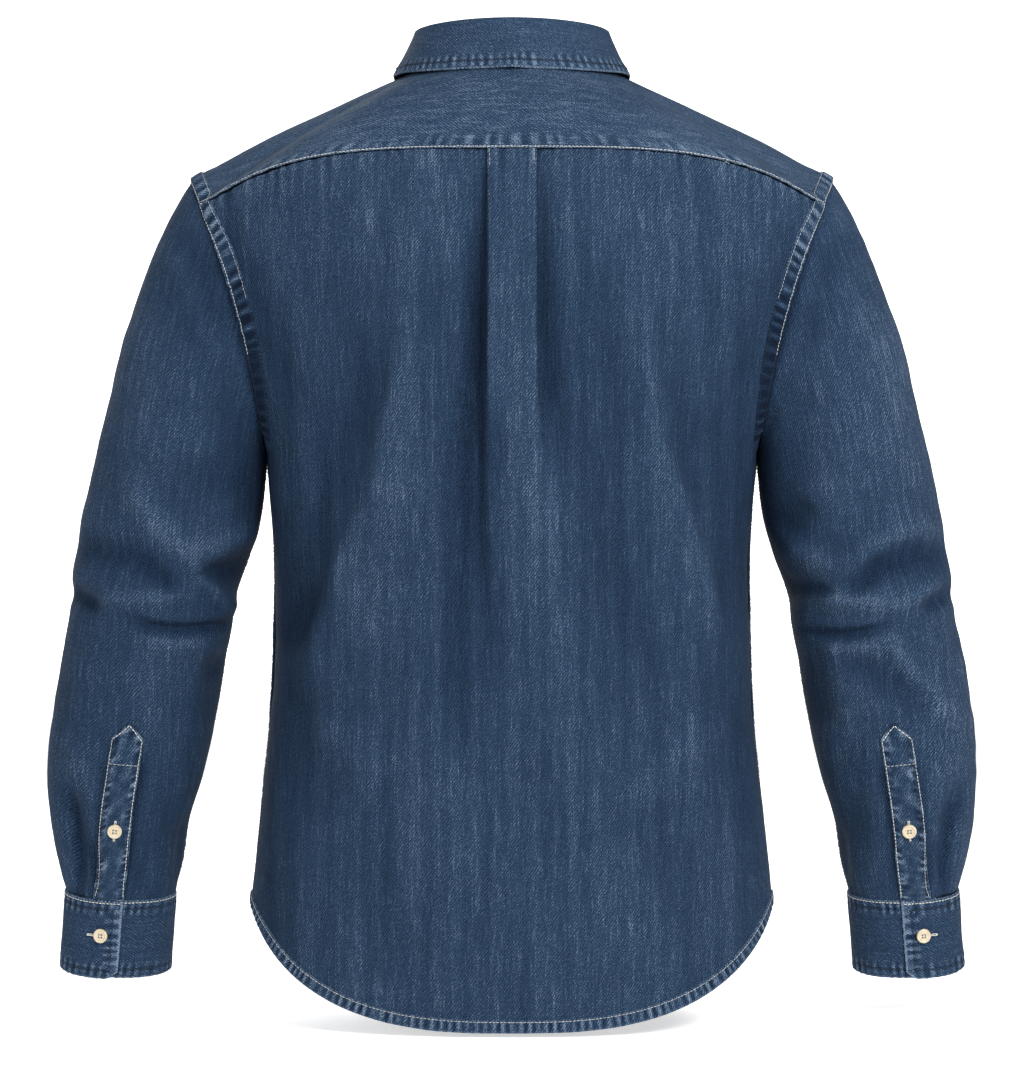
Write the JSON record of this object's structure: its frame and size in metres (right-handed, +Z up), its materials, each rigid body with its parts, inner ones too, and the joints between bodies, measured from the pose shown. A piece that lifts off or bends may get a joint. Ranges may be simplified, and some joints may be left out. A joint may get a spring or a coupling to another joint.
{
  "type": "long-sleeved denim shirt",
  "caption": "Men's long-sleeved denim shirt with a yoke, a box pleat in the back, a buttoned collar and cuffs, filled out as if worn, with no wearer.",
  "frame": {"origin": "midway between the two points where the shoulder lines meet the neck, where a wearer's shoulders carry the shirt", "axes": "+Z up; -Y is the front, where the shirt buttons; +X is the wearer's left"},
  "size_m": [0.7382, 0.248, 0.7801],
  "materials": {
    "denim": "washed mid-blue cotton denim, matt, with a fine twill",
    "denim_bands": "the same denim doubled and stitched, paler along its edges",
    "button": "cream, softly glossy, four holes"
  },
  "bodies": {
    "root": {"back_panel": "denim", "yoke": "denim", "front_left": "denim", "front_right": "denim", "front_placket": "denim_bands", "collar_stand": "denim_bands", "collar_leaf": "denim_bands", "sleeve_left": "denim", "sleeve_right": "denim", "sleeve_placket_left": "denim_bands", "sleeve_placket_right": "denim_bands", "cuff_left": "denim_bands", "cuff_right": "denim_bands", "front_button_1": "button", "front_button_2": "button", "front_button_3": "button", "front_button_4": "button", "front_button_5": "button", "front_button_6": "button", "collar_button": "button", "sleeve_button_left": "button", "sleeve_button_right": "button", "cuff_button_left": "button", "cuff_button_right": "button"}
  },
  "joints": []
}
